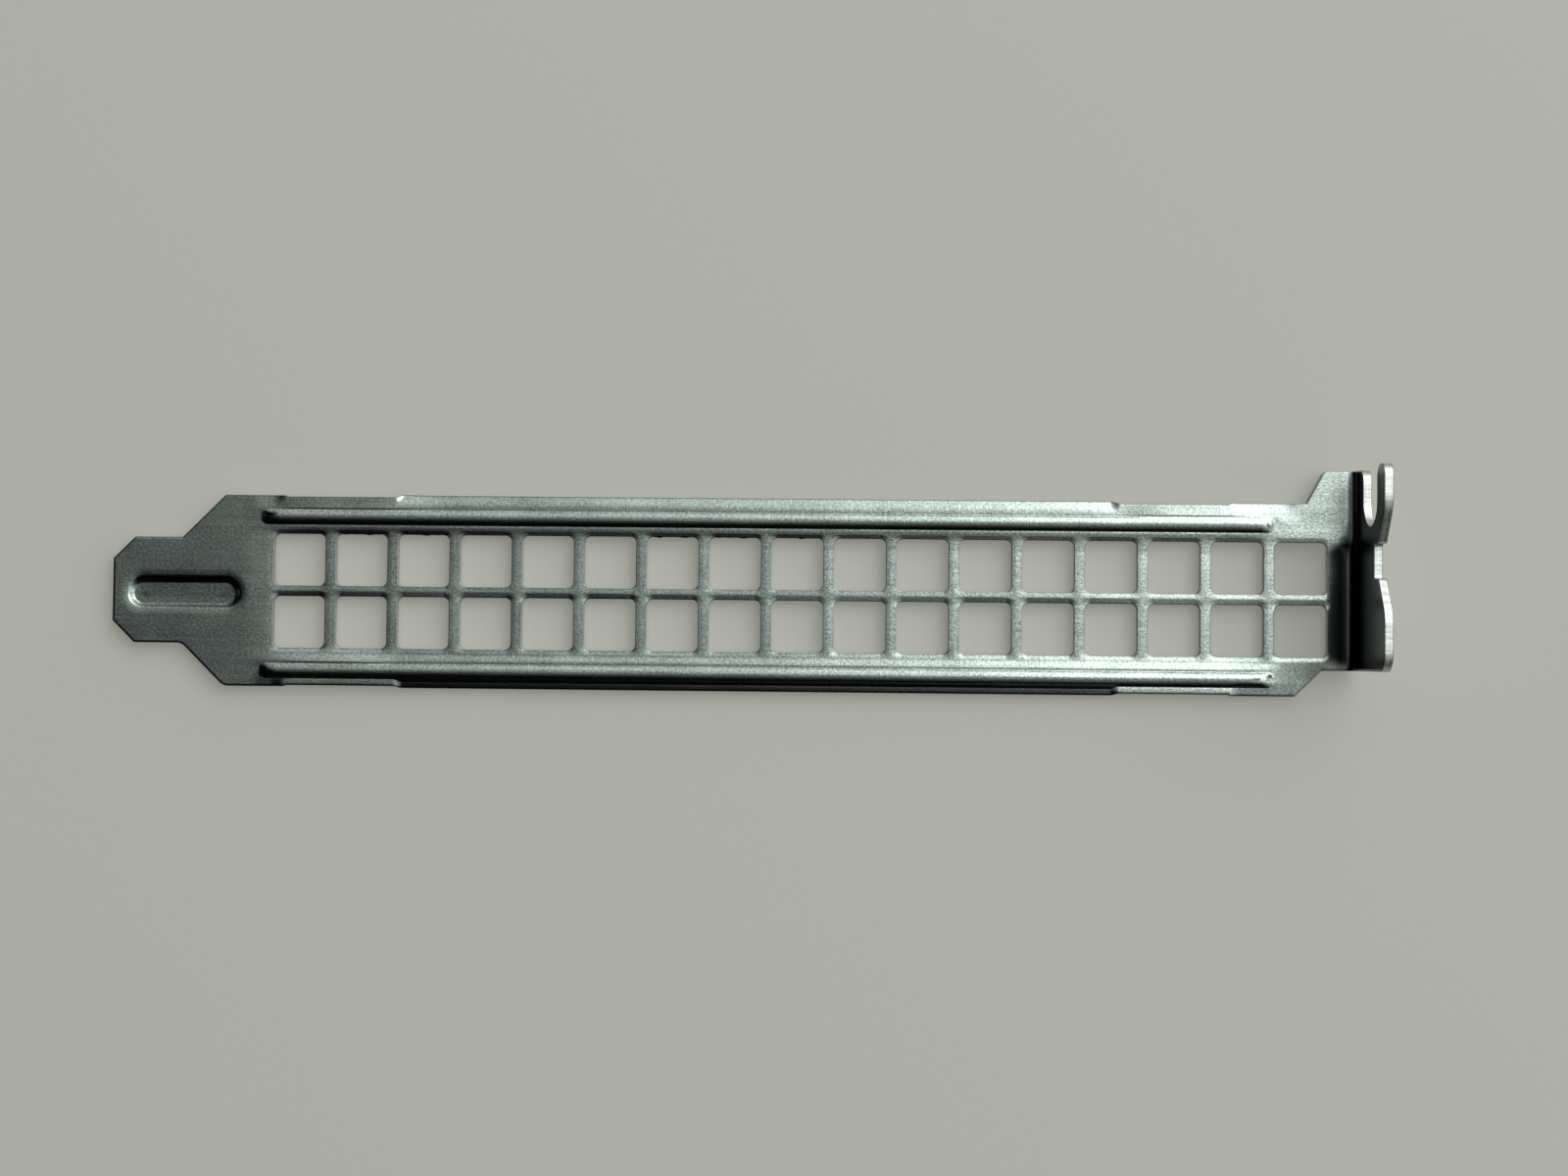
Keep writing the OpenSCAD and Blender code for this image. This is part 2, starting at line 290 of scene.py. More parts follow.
def roundedLoop(corners):
    # Corners run anticlockwise as (u, v, radius). Arcs get a point every few degrees.
    points = []
    for i, (cu, cv, radius) in enumerate(corners):
        corner = np.array([cu, cv])
        before = np.array(corners[i - 1][:2]) - corner
        after = np.array(corners[(i + 1) % len(corners)][:2]) - corner
        if radius == 0:
            points.append(corner)
            continue
        before /= np.linalg.norm(before)
        after /= np.linalg.norm(after)
        half = math.acos(np.clip(before @ after, -1, 1)) / 2
        reach = radius / math.tan(half)
        middle = corner + (before + after) / np.linalg.norm(before + after) * radius / math.sin(half)
        start = corner + before * reach - middle
        end = corner + after * reach - middle
        first = math.atan2(start[1], start[0])
        turn = (math.atan2(end[1], end[0]) - first + math.pi) % (2 * math.pi) - math.pi
        steps = max(2, math.ceil(abs(math.degrees(turn)) / meshing["arcStep"]))
        for k in range(steps + 1):
            a = first + turn * k / steps
            points.append(middle + radius * np.array([math.cos(a), math.sin(a)]))
    return points


def blankCorners():
    sharp = sheet["sharpRadius"]
    tongueV = tongue["width"] / 2
    chamfer = tongue["chamfer"]
    shoulder = tongue["shoulderRadius"]
    neckU = tipU + tongue["length"]
    shoulderU = neckU + bladeV - tongueV
    stepLow = flangeFace - sheet["edgeStepMiddle"] - sheet["edgeStepLength"] / 2
    stepHigh = stepLow + sheet["edgeStepLength"]
    slope = sheet["edgeStepSlope"]
    lowV = -flange["low"]
    lowU = foldStart - flange["lowSideLength"]
    highU = foldStart - flange["highSideLength"]
    topU = flangeU(flangeTop)
    floorU = flangeU(flangeTop - flange["reliefDepth"])
    wallU = floorU + flange["reliefWall"]
    reliefV = flange["reliefMiddle"]
    halfV = flange["reliefWidth"] / 2
    slopeV = halfV + flange["slopeLength"]
    notchLow = flangeU(flange["notchMiddle"] - flange["notchHeight"] / 2)
    notchHigh = flangeU(flange["notchMiddle"] + flange["notchHeight"] / 2)
    notchV = highSide - flange["notchDepth"] + flange["notchHeight"] / 2
    steps = [(stepLow - slope, bladeV), (stepLow + slope, stepV),
             (stepHigh - slope, stepV), (stepHigh + slope, bladeV)]
    relief = [(topU, slopeV, flange["slopeRadius"]), (wallU, halfV, flange["wallRadius"]),
              (floorU, halfV, sharp)]
    radius = flange["notchHeight"] / 2
    middleU = (notchLow + notchHigh) / 2
    notch = [(middleU + radius * math.cos(a), notchV + radius * math.sin(a), 0)
             for a in np.radians(np.linspace(0, -180, flange["notchSegments"] + 1))]
    return [
        (tipU, -tongueV + chamfer, 0),
        (tipU + chamfer, -tongueV, sharp),
        (neckU, -tongueV, shoulder),
        (shoulderU, -bladeV, shoulder),
        *[(u, -v, 0) for u, v in steps],
        (lowU - (bladeV + lowV), -bladeV, sharp),
        (lowU, lowV, sharp),
        (topU, lowV, flange["cornerRadius"]),
        *[(u, reliefV - v, r) for u, v, r in relief],
        *[(u, reliefV + v, r) for u, v, r in reversed(relief)],
        (topU, highSide, flange["fingerRadius"]),
        (notchHigh, highSide, flange["fingerRadius"]),
        *notch,
        (notchLow, highSide, flange["mouthRadius"]),
        (highU, highSide, flange["highRadius"]),
        (highU - flange["highSlope"], bladeV, sharp),
        *[(u, v, 0) for u, v in reversed(steps)],
        (shoulderU, bladeV, sharp),
        (neckU, tongueV, sharp),
        (tipU + chamfer, tongueV, sharp),
        (tipU, tongueV - chamfer, 0),
    ]


def meshColumns():
    # Lines across the sheet: close together where a lip turns down and round the fold.
    clear, over = meshing["lipClear"], meshing["lipOver"]
    lines = list(np.arange(tipU, foldStart - clear, meshing["spacing"]))
    for side in (-1, 1):
        lipEnd = lipMiddle + side * lips["length"] / 2
        lines = [u for u in lines if not -clear < (lipEnd - u) * side < lips["twist"] + clear]
        lines += [lipEnd - side * s for s in np.linspace(-over, lips["twist"] + over, meshing["lipColumns"])]
    lines += list(np.linspace(foldStart, foldEnd, meshing["foldColumns"]))
    lines += list(np.linspace(foldEnd, flangeU(flangeTop), meshing["flangeColumns"])[1:])
    return np.array(sorted(lines))


def resample(loop, columns, clear=0.08, shortRun=0.6):
    # Straight runs along the sheet get a point on each column, the others one every step.
    points = []
    for i, a in enumerate(loop):
        b = loop[(i + 1) % len(loop)]
        points.append(a)
        run = np.linalg.norm(b - a)
        if run < shortRun:
            continue
        if abs(b[1] - a[1]) < 1e-6:
            inside = columns[(columns > min(a[0], b[0]) + clear) & (columns < max(a[0], b[0]) - clear)]
            if b[0] < a[0]:
                inside = inside[::-1]
            points += [np.array([u, a[1]]) for u in inside]
        else:
            steps = math.ceil(run / meshing["step"])
            points += [a + (b - a) * k / steps for k in range(1, steps)]
    return np.array(points)


def inset(loop, distance, sharpest=0.2):
    # The same loop moved in. Sharpest keeps a pointed corner from running away.
    before = loop - np.roll(loop, 1, 0)
    after = np.roll(loop, -1, 0) - loop
    cosHalf = np.sqrt(np.clip((1 + (unit(before) * unit(after)).sum(1)) / 2, sharpest, 1))
    return loop - toRight(before, after) * (distance / cosHalf)[:, None]


def signedDistance(points, loop, batch=2000):
    # Distance from points to the outline, positive on the sheet.
    d = np.roll(loop, -1, 0) - loop
    length2 = (d * d).sum(1)
    result = np.empty(len(points))
    for i in range(0, len(points), batch):
        p = points[i:i + batch, None, :] - loop[None]
        t = np.clip((p * d).sum(2) / length2, 0, 1)
        away = p - t[..., None] * d
        gap = np.linalg.norm(away, axis=2)
        near = gap.argmin(1)
        row = np.arange(len(near))
        side = d[near, 0] * p[row, near, 1] - d[near, 1] * p[row, near, 0]
        result[i:i + batch] = gap[row, near] * np.where(side >= 0, 1, -1)
    return result


def pastField(p):
    # How far points lie outside the block of vent cells.
    return np.maximum(np.abs(p[:, 0]) - fieldU, np.abs(p[:, 1]) - fieldV)


# Node trees, for the vents and for the finishes.

def newGroup(name, kind, inputs, outputs):
    # A node group with its sockets, and the nodes that stand for them.
    tree = bpy.data.node_groups.new(name, kind)
    for way, sockets in (("OUTPUT", outputs), ("INPUT", inputs)):
        for socket, value in sockets.items():
            tree.interface.new_socket(socket, in_out=way, socket_type="NodeSocket" + value)
    return tree, tree.nodes.new("NodeGroupInput"), tree.nodes.new("NodeGroupOutput")


def setInputs(node, values):
    # Each value is a plain one or another node's socket.
    for key, value in values.items():
        if isinstance(value, bpy.types.NodeSocket):
            node.id_data.links.new(value, node.inputs[key])
        else:
            node.inputs[key].default_value = value


def addNode(tree, kind, values, **settings):
    node = tree.nodes.new(kind)
    for name, value in settings.items():
        setattr(node, name, value)
    setInputs(node, values)
    return node


def addMath(tree, operation, *values):
    return addNode(tree, "ShaderNodeMath", dict(enumerate(values)), operation=operation).outputs[0]


# The block of vents: one rolled cell, repeated by Geometry Nodes.

def ventCell():
    # A square cell of flat sheet round one vent, ring by ring from the rim to the cell's edge.
    half = vents["size"] / 2
    straight = half - vents["radius"]
    cellHalf = vents["pitch"] / 2
    sides = vents["sideSegments"]
    turns = vents["cornerSegments"]
    rim = []
    for quarter in range(4):
        a = quarter * math.pi / 2
        across = np.array([math.cos(a), math.sin(a)])
        along = np.array([-math.sin(a), math.cos(a)])
        for k in range(sides):
            rim.append((across * half, along * straight * (2 * k / sides - 1), across))
        for k in range(turns):
            t = math.pi / 2 * k / turns
            out = across * math.cos(t) + along * math.sin(t)
            rim.append(((across + along) * straight + out * vents["radius"], np.zeros(2), out))
    rings = [[base + shift + out * d for base, shift, out in rim] for d in ventRings]
    edge = []
    for base, shift, out in rim:
        p = base + shift - out * vents["radius"]
        gap = (cellHalf - np.abs(p)) / np.maximum(np.abs(out), 1e-9)
        edge.append(p + out * gap.min())
    rings.append(edge)
    count = len(rim)
    faces = []
    for r in range(len(rings) - 1):
        for k in range(count):
            n = (k + 1) % count
            faces.append((r * count + k, (r + 1) * count + k, (r + 1) * count + n, r * count + n))
    mesh = bpy.data.meshes.new("ventCell")
    mesh.from_pydata([(p[0], p[1], 0) for ring in rings for p in ring], [], faces)
    return mesh


def ventFieldTree():
    inputs = {"Cell": "Object", "Pitch": "Float", "Columns": "Int", "Rows": "Int", "Finish": "Material"}
    tree, given, out = newGroup("ventField", "GeometryNodeTree", inputs, {"Geometry": "Geometry"})
    grid = addNode(tree, "GeometryNodeMeshGrid", {})
    for name, axis in (("Columns", "X"), ("Rows", "Y")):
        gaps = addMath(tree, "SUBTRACT", given.outputs[name], 1)
        size = addMath(tree, "MULTIPLY", gaps, given.outputs["Pitch"])
        setInputs(grid, {"Size " + axis: size, "Vertices " + axis: given.outputs[name]})
    cell = addNode(tree, "GeometryNodeObjectInfo", {"Object": given.outputs["Cell"]})
    place = addNode(tree, "GeometryNodeInstanceOnPoints",
                    {"Points": grid.outputs["Mesh"], "Instance": cell.outputs["Geometry"]})
    real = addNode(tree, "GeometryNodeRealizeInstances", {"Geometry": place.outputs["Instances"]})
    merge = addNode(tree, "GeometryNodeMergeByDistance",        # joins cells where they meet
                    {"Geometry": real.outputs["Geometry"], "Distance": 0.001})
    finish = addNode(tree, "GeometryNodeSetMaterial",
                     {"Geometry": merge.outputs["Geometry"], "Material": given.outputs["Finish"]})
    setInputs(out, {"Geometry": finish.outputs["Geometry"]})
    return tree


def ventField(material):
    cell = newObject("ventCell", ventCell())
    holder = newObject("ventField", bpy.data.meshes.new("ventFieldStart"))
    tree = ventFieldTree()
    values = {"Cell": cell, "Pitch": vents["pitch"], "Columns": vents["columns"],
              "Rows": vents["rows"], "Finish": material}
    modifier = holder.modifiers.new("ventField", "NODES")
    modifier.node_group = tree
    for item in tree.interface.items_tree:
        if item.in_out == "INPUT":
            modifier[item.identifier] = values[item.name]
    bpy.context.view_layer.update()
    result = bpy.data.meshes.new_from_object(holder.evaluated_get(bpy.context.evaluated_depsgraph_get()))
    points = np.array([v.co[:2] for v in result.vertices])
    faces = [tuple(p.vertices) for p in result.polygons]
    for o in (holder, cell):
        bpy.data.objects.remove(o)
    bpy.data.meshes.remove(result)
    return points, faces


# The rest of the blank, with points where the press will bend it.

def stadium(spine, distance, columns, arcSteps):
    u0, u1, v = spine
    clear = meshing["arcClear"]
    inside = columns[(columns > u0 + clear) & (columns < u1 - clear)]
    low = [(u, v - distance) for u in inside]
    high = [(u, v + distance) for u in inside[::-1]]
    turn = np.radians(np.linspace(-90, 90, arcSteps + 1))
    right = [(u1 + distance * math.cos(a), v + distance * math.sin(a)) for a in turn]
    left = [(u0 - distance * math.cos(a), v - distance * math.sin(a)) for a in turn]
    return np.array(low + right + high + left)


def spineDistance(p, spine):
    u0, u1, v = spine
    return np.hypot(p[:, 0] - np.clip(p[:, 0], u0, u1), p[:, 1] - v)


def loosePoints(loop, columns):
    # The points on no loop: along the spines, beside the vents and lips, and on plain flats.
    loose = []
    gaps = [meshing["ribStep"]] + [meshing["beadStep"]] * len(beadSpines)
    for spine, gap in zip([ribSpine] + beadSpines, gaps):
        loose += [(u, spine[2]) for u in np.arange(spine[0], spine[1] + hair, gap)]
    step = meshing["step"]
    for k in fieldRings:
        for u in np.arange(-fieldU - k, fieldU + k, step):
            loose += [(u, fieldV + k), (u, -fieldV - k)]
        for v in np.arange(-fieldV - k + step, fieldV + k, step):
            loose += [(fieldU + k, v), (-fieldU - k, v)]
    onBlade = columns[columns < foldStart - meshing["clearOfFold"]]
    for k in lipRings:
        loose += [(u, side * (lipBend + k)) for u in onBlade for side in (-1, 1)]
    lines = np.arange(meshing["firstLine"], highSide, meshing["spacing"])
    plain = np.array([(u, v) for u in columns for v in lines])
    clear = pastField(plain) > meshing["clearOfVents"]
    clear &= spineDistance(plain, ribSpine) > meshing["clearOfRib"]
    for spine in beadSpines:
        clear &= spineDistance(plain, spine) > meshing["clearOfBeads"]
    loose = np.vstack([np.array(loose), plain[clear]])
    for spine in beadSpines:
        away = spineDistance(loose, spine)
        loose = loose[(away < hair) | (away > beadRings[-1] + meshing["clearOfRings"])]
    return loose[signedDistance(loose, loop) > edgeBand]


def blankMesh(cells, cellFaces, loop, columns):
    loops = [loop] + [inset(loop, d) for d in edgeRings]
    ribColumns = np.arange(ribSpine[0], ribSpine[1], meshing["ribStep"])
    loops += [stadium(ribSpine, d, ribColumns, meshing["ribEndSteps"]) for d in ribRings]
    for spine in beadSpines:
        loops += [stadium(spine, d, columns, meshing["beadEndSteps"]) for d in beadRings]
    border = cells[pastField(cells) > -tolerance]
    turn = np.arctan2(border[:, 1] / fieldV, border[:, 0] / fieldU)
    loops.append(border[np.argsort(turn)])

    points = []
    edges = []
    for ring in loops:
        first = len(points)
        points += [tuple(p) for p in ring]
        edges += [(first + i, first + (i + 1) % len(ring)) for i in range(len(ring))]
    points += [tuple(p) for p in loosePoints(loop, columns)]
    made = delaunay_2d_cdt([Vector(p) for p in points], edges, [], 0, 1e-5, False)
    flat = np.array([v[:] for v in made[0]])
    faces = np.array([f[:] for f in made[2]])
    middle = flat[faces].mean(1)
    faces = faces[(signedDistance(middle, loop) > 0) & (pastField(middle) > 0)]
    a, b, c = flat[faces[:, 0]], flat[faces[:, 1]], flat[faces[:, 2]]
    area = (b[:, 0] - a[:, 0]) * (c[:, 1] - a[:, 1]) - (b[:, 1] - a[:, 1]) * (c[:, 0] - a[:, 0])
    faces[area < 0] = faces[area < 0][:, ::-1]

    # Join the border to the vents' block on their shared edge.
    every = np.vstack([cells, flat])
    key = np.round(every, 3) + 0.0
    unique, first, index = np.unique(key, axis=0, return_index=True, return_inverse=True)
    index = index.reshape(-1)
    allFaces = [tuple(index[list(f)]) for f in cellFaces]
    allFaces += [tuple(index[f + len(cells)]) for f in faces]
    allFaces = [f for f in allFaces if len(set(f)) == len(f)]
    used = np.unique(np.concatenate([np.array(f) for f in allFaces]))
    renumber = -np.ones(len(unique), int)
    renumber[used] = np.arange(len(used))
    return every[first][used], [tuple(renumber[list(f)]) for f in allFaces]


# The press, which gives the flat blank its form.

def rise(x, softness):
    # A smooth version of max(x, 0).
    return (x + np.sqrt(x * x + softness * softness)) / 2


def ramp(x, ends):
    # Goes smoothly from 0 at the first end to 1 at the second.
    share = np.clip((x - ends[0]) / (ends[1] - ends[0]), 0, 1)
    return share * share * (3 - 2 * share)


def arch(distance, width, height, softness):
    # A shallow round arch with soft feet. Far outside it the clip keeps the root real.
    radius = (width * width / 4 + height * height) / (2 * height)
    inside = np.clip(radius * radius - distance * distance, 0.01, None)
    return rise(np.sqrt(inside) - radius + height, softness)


def trough(distance, inner, outer, depth, softness):
    # A flat floor out to inner, then a wall that leans out to outer.
    slope = (outer - distance) / (outer - inner)
    low = rise(slope, softness)
    return depth * (1 - rise(1 - low, softness))


def tornRims(p):
    # A worn punch left small wavy burrs on some of the high row's outer rims.
    torn = p.copy()
    half = vents["size"] / 2
    rimV = vents["pitch"] / 2 + half
    for column in vents["tornColumns"]:
        along = p[:, 0] - column * vents["pitch"]
        wave = sum(height * np.sin(along * turn + phase * column)
                   for turn, phase, height in vents["tornWaves"])
        near = np.clip(1 - np.abs(p[:, 1] - rimV) / vents["tornDepth"], 0, 1)
        inside = ramp(half - vents["radius"] - np.abs(along), (0, vents["tornFade"]))
        torn[:, 1] -= vents["tornDepth"] / 2 * np.clip(wave, 0, 2) * near * inside
    return torn


def ventGap(p):
    # Distance from the rim of the nearest vent.
    half = vents["columns"] // 2
    column = np.clip(np.round(p[:, 0] / vents["pitch"]), -half, half)
    row = np.where(p[:, 1] < 0, -0.5, 0.5)
    q = np.abs(p - np.stack([column, row], 1) * vents["pitch"]) - vents["size"] / 2 + vents["radius"]
    return np.linalg.norm(np.maximum(q, 0), axis=1) + np.minimum(q.max(1), 0) - vents["radius"]


def rimBreak(gap):
    width, depth = sheet["rimBreak"]
    return depth * np.clip(1 - gap / width, 0, pastRim) ** 2


def ventRoll(p):
    # Each vent drags its rims down, most on the sides toward the beads.
    half = vents["columns"] // 2
    nearest = np.clip(np.round(p[:, 0] / vents["pitch"]), -half, half)
    total = np.zeros(len(p))
    straight = vents["size"] / 2 - vents["radius"]
    soft = vents["rollSoftness"]
    perColumn, perRow, perCorner = vents["unevenTurns"]
    for step in (-1, 0, 1):
        column = nearest + step
        here = np.abs(column) <= half
        for row in (-0.5, 0.5):
            away = p - np.stack([column, np.full(len(p), row)], 1) * vents["pitch"]
            q = np.abs(away) - straight
            reach = np.maximum(q, 0)
            outside = np.maximum(np.linalg.norm(reach, axis=1), 1e-6)
            gap = outside + np.minimum(q.max(1), 0) - vents["radius"]
            share = (reach / outside[:, None]) ** 2
            inner = vents["lowRowRoll"] if row < 0 else vents["highRowRoll"]
            toBead = (away[:, 1] * row > 0)[:, None]
            toLeft = (away[:, 0] < 0)[:, None]
            alongSide = np.where(toBead, vents["outerRoll"], inner)
            acrossSide = np.where(toLeft, vents["leftRoll"], vents["rightRoll"])
            width, drop = (alongSide * share[:, 1:] + acrossSide * share[:, :1]).T
            drop = drop + vents["burrRoll"] * (column % 2) * (1 - share[:, 1])
            near = rise(1 - gap / np.maximum(width, 1e-6), soft) - rise(-vents["rollEnd"], soft)
            change = vents["uneven"] * np.sin(perColumn * column + perRow * row + perCorner * share[:, 0])
            total += np.where(here, drop * (1 + change) * np.clip(near, 0, pastRim) + rimBreak(gap), 0)
    return total


def fromEnds(u, spine):
    # How far inside the ends of a spine a point lies.
    return (spine[1] - spine[0]) / 2 - np.abs(u - (spine[0] + spine[1]) / 2)


def beadDistance(p, spine):
    # Grows faster on the high side, where the bead is narrower.
    away = spineDistance(p, spine)
    toHigh = np.clip((p[:, 1] - spine[2]) / np.maximum(away, hair), 0, 1)
    return away * (1 + beads["highFoot"] * toHigh ** 2)


def beadForm(p, spine, width, height):
    # The arch comes up softly at its ends. On its high side the sheet beside the ends stays up.
    u, v = p.T
    form = arch(beadDistance(p, spine), width, height, beads["footSoftness"])
    into = fromEnds(u, spine) + beads["width"] / 2
    form *= ramp(into, (0, beads["fade"]))
    leftEnd, rightEnd = [lipMiddle + side * lips["length"] / 2 for side in (-1, 1)]
    pastFoot = v - spine[2] - width / 2
    if spine[2] > 0:
        before, after = beads["highSettle"]
        held = 1 - ramp(u, (leftEnd + before, leftEnd + after)) * ramp(u, (rightEnd + after, rightEnd))
        outward = 1 - beads["heldAtEdge"] * np.clip(pastFoot / (bladeV - spine[2]), 0, 1)
    else:
        before, after = beads["lowSettle"]
        held = 1 - ramp(u, (leftEnd + before, leftEnd + after))
        firstRim = -fieldV + (vents["pitch"] - vents["size"]) / 2
        outward = 1 - np.clip(pastFoot / (firstRim - spine[2] - width / 2), 0, 1)
    across = ramp(v - spine[2], (beads["heldFrom"], width / 2))
    held *= ramp(into, beads["heldRun"]) * beads["heldUp"] * across
    return form + held * outward * (height - form)


def sag(p):
    # How the whole thickness of the sheet lies off its plane.
    u, v = p.T
    soft = tray["softness"]
    along = ramp(u, tray["leftEnd"]) * ramp(u, tray["rightEnd"])
    inner, outer = np.where(v[:, None] > 0, tray["highWall"], tray["lowWall"]).T
    across = (outer - np.abs(v)) / (outer - inner)
    early = tray["highRise"] * np.clip((v - tray["highRiseStart"]) / (inner - tray["highRiseStart"]), 0, 1)
    lift = -tray["depth"] * along * (1 - rise(1 - rise(across, soft), soft)) * (1 - early)
    left, right, ease = margins["left"], margins["right"], margins["ease"]
    soft = margins["softness"]
    hang = ramp(u, (left[0], left[0] + ease)) * ramp(u, (left[1], left[1] - ease))
    hang += ramp(u, (right[0], right[0] + ease)) * ramp(u, (right[1], right[1] - margins["foldEase"]))
    lift -= margins["slope"] * hang * rise(np.abs(v) - margins["start"], soft)
    flat = ramp(u, (foldEnd, foldStart))
    bladeU = np.minimum(u, foldStart)
    lift += flat * margins["curl"] * rise(bladeU - margins["curlStart"], margins["curlSoftness"])
    corner = rise(margins["lowHangStart"] - v, margins["lowHangSoftness"])
    lift -= flat * margins["lowHang"] * ramp(u, margins["lowHangRun"]) * corner
    dip = rise(bladeU - margins["foldDipStart"], soft) * ramp(v, margins["foldDipSide"])
    return lift - flat * margins["foldDip"] * dip


# u, v, half length, half width and depth
dents = [(-51.1, 7.3, 0.15, 0.2, 0.06), (44.2, -7.68, 0.7, 0.14, 0.04)]


def frontRise(p, loop, nearEdge):
    # How far the front face stands off the plain sheet.
    lift = -ventRoll(p)
    for u, v, halfLength, halfWidth, depth in dents:
        away = np.maximum(np.abs(p[:, 0] - u) - halfLength, 0) ** 2 + (p[:, 1] - v) ** 2
        lift -= depth * np.exp(-away / halfWidth ** 2)
    for spine in beadSpines:
        lift += beadForm(p, spine, beads["width"], beads["height"])
        dip, reach = beads["footDip"]
        gap = beadDistance(p, spine) - beads["width"] / 2 - beads["footDipGap"]
        lift -= dip * np.exp(-(gap / reach) ** 2) * ramp(fromEnds(p[:, 0], spine), (0, beads["footDipFade"]))
    d, inner, mouth, _ = ribWalls(p)
    wall = trough(d, inner, mouth, ribDepth, rib["softness"])
    lift -= wall - rib["hollow"] * np.minimum(d, inner) ** 2 * wall / ribDepth
    lift -= rib["dish"] * np.clip(1 - (d - mouth) / rib["dishWidth"], 0, 1) ** 2 * (1 - wall / ribDepth)
    edge = signedDistance(p[nearEdge], loop)
    high = ramp(p[nearEdge, 1], sheet["highEdge"])
    roll = sheet["edgeRollDepth"] * (1 - (1 - sheet["highEdgeRoll"]) * high)
    lift[nearEdge] -= roll * np.clip(1 - edge / sheet["edgeRollWidth"], 0, pastRim) ** 2 + rimBreak(edge)
    return lift


def ribWalls(p):
    # Distance from the rib's spine, where its wall starts and ends there, and how far it faces the
    # high side. Each wall goes over into the next one round the rib's ends.
    u0, u1, v0 = ribSpine
    d = spineDistance(p, ribSpine)
    away = np.stack([p[:, 0] - np.clip(p[:, 0], u0, u1), p[:, 1] - v0], 1) / np.maximum(d, hair)[:, None]
    along, across = np.maximum(away ** 2, 1e-6).T
    ends = []
    for i in (0, 1):
        side = np.where(away[:, 1] > 0, rib["wallHigh"][i], rib["wallLow"][i])
        end = np.where(away[:, 0] < 0, rib["wallTip"][i], rib["wallInner"][i])
        ends.append((side * across + end * along) / (along + across))
    return d, ends[0], ends[1], away[:, 1]


def foldAndWallShade(p):
    # Where shade is painted into the plating's colour: on the strip behind the last vents, in the fold and
    # on the flange, and on the rib's high wall, all of which lie in shade.
    u, v = p.T
    first, last = shadeAreas["strip"]
    start = first - shadeAreas["cornerReach"] * ramp(v, shadeAreas["cornerSide"])
    strip = np.clip((u - start) / (last - start), 0, 1)
    strip *= 1 - (1 - shadeAreas["highShare"]) * (1 - ramp(v, shadeAreas["highSide"]))
    before, after = shadeAreas["flangeRun"]
    foldShade = np.maximum(strip, ramp(u, (foldStart + before, foldStart + after)) * shadeAreas["flange"])
    d, inner, mouth, toHigh = ribWalls(p)
    share = np.clip((d - inner) / (mouth - inner), 0, 1)
    wall = np.clip(shadeAreas["ribWallSpread"] * share * (1 - share), 0, 1)
    return np.maximum(foldShade, wall * ramp(toHigh, shadeAreas["ribWallSide"]) * shadeAreas["ribWall"])


def backRise(p):
    lift = np.zeros(len(p))
    for spine in beadSpines:
        lift += beadForm(p, spine, beads["grooveWidth"], beads["grooveDepth"])
    d = spineDistance(p, ribSpine)
    mouth = rib["width"] / 2 + rib["skin"]
    return lift - trough(d, mouth - rib["lean"], mouth, ribDepth, rib["backSoftness"])


def bend(p, height):
    # Folds up the flange and turns down the lips: height is measured from the sheet's back face.
    u, v = p[:, 0], p[:, 1]
    turn = np.clip((u - foldStart) / outerFold, 0, math.pi / 2)
    x = np.minimum(u, foldStart) + (outerFold - height) * np.sin(turn)
    z = outerFold - (outerFold - height) * np.cos(turn) + np.maximum(u - foldEnd, 0)
    into = lips["length"] / 2 - np.abs(u - lipMiddle)
    angle = np.radians(lips["angle"]) * ramp(into, (0, lips["twist"]))
    b = lips["bendWidth"] / 2
    s = np.abs(v) - lipBend
    bending = (s > -b) & (angle > 1e-6)
    tilt = np.where(bending, angle * np.clip((s + b) / (2 * b), 0, 1), 0)
    radius = 2 * b / np.maximum(angle, 1e-6)
    past = np.maximum(s - b, 0)
    y = np.where(bending, lipBend - b + radius * np.sin(tilt) + past * np.cos(tilt), np.abs(v))
    drop = np.where(bending, radius * (1 - np.cos(tilt)) + past * np.sin(tilt), 0)
    y = y + height * np.sin(tilt)
    z = z - drop - height * (1 - np.cos(tilt)) * (turn == 0)
    return np.stack([x, y * np.sign(v), z], 1)


def layer(p, share, loop, nearEdge):
    # Share 1 is the front face, 0 the back, and in between lies a cut edge.
    front = sheet["thickness"] + frontRise(p, loop, nearEdge)
    back = backRise(p)
    return bend(p, back + (front - back) * share + sag(p))


def layerNormals(p, share, loop, nearEdge, step=0.002):
    here = layer(p, share, loop, nearEdge)
    along = layer(p + [step, 0], share, loop, nearEdge) - here
    across = layer(p + [0, step], share, loop, nearEdge) - here
    return here, unit(np.cross(along, across))


def findRims(faces):
    # The edges with one face, as the point where each starts and the one where it ends.
    edges = dict.fromkeys((a, b) for f in faces for a, b in zip(f, f[1:] + f[:1]))
    return np.array([(a, b) for a, b in edges if (b, a) not in edges])


def wallNormals(points, walls, rims):
    # A cut wall is shaded round with its neighbours along the rim, but not over a sharp corner.
    a, b, c, d = points[walls].transpose(1, 0, 2)
    own = unit(np.cross(c - a, d - b)).reshape(len(rims), -1, 3)
    index = {start: i for i, (start, end) in enumerate(rims)}
    ahead = np.array([index[end] for start, end in rims])
    blended = []
    for other in (own[ahead], own[np.argsort(ahead)]):
        smooth = (own * other).sum(-1, keepdims=True) > meshing["roundest"]
        blended.append(np.where(smooth, unit(own + other), own).reshape(-1, 3))
    atEnd, atStart = blended
    return np.stack([atEnd, atStart, atStart, atEnd], 1).reshape(-1, 3)


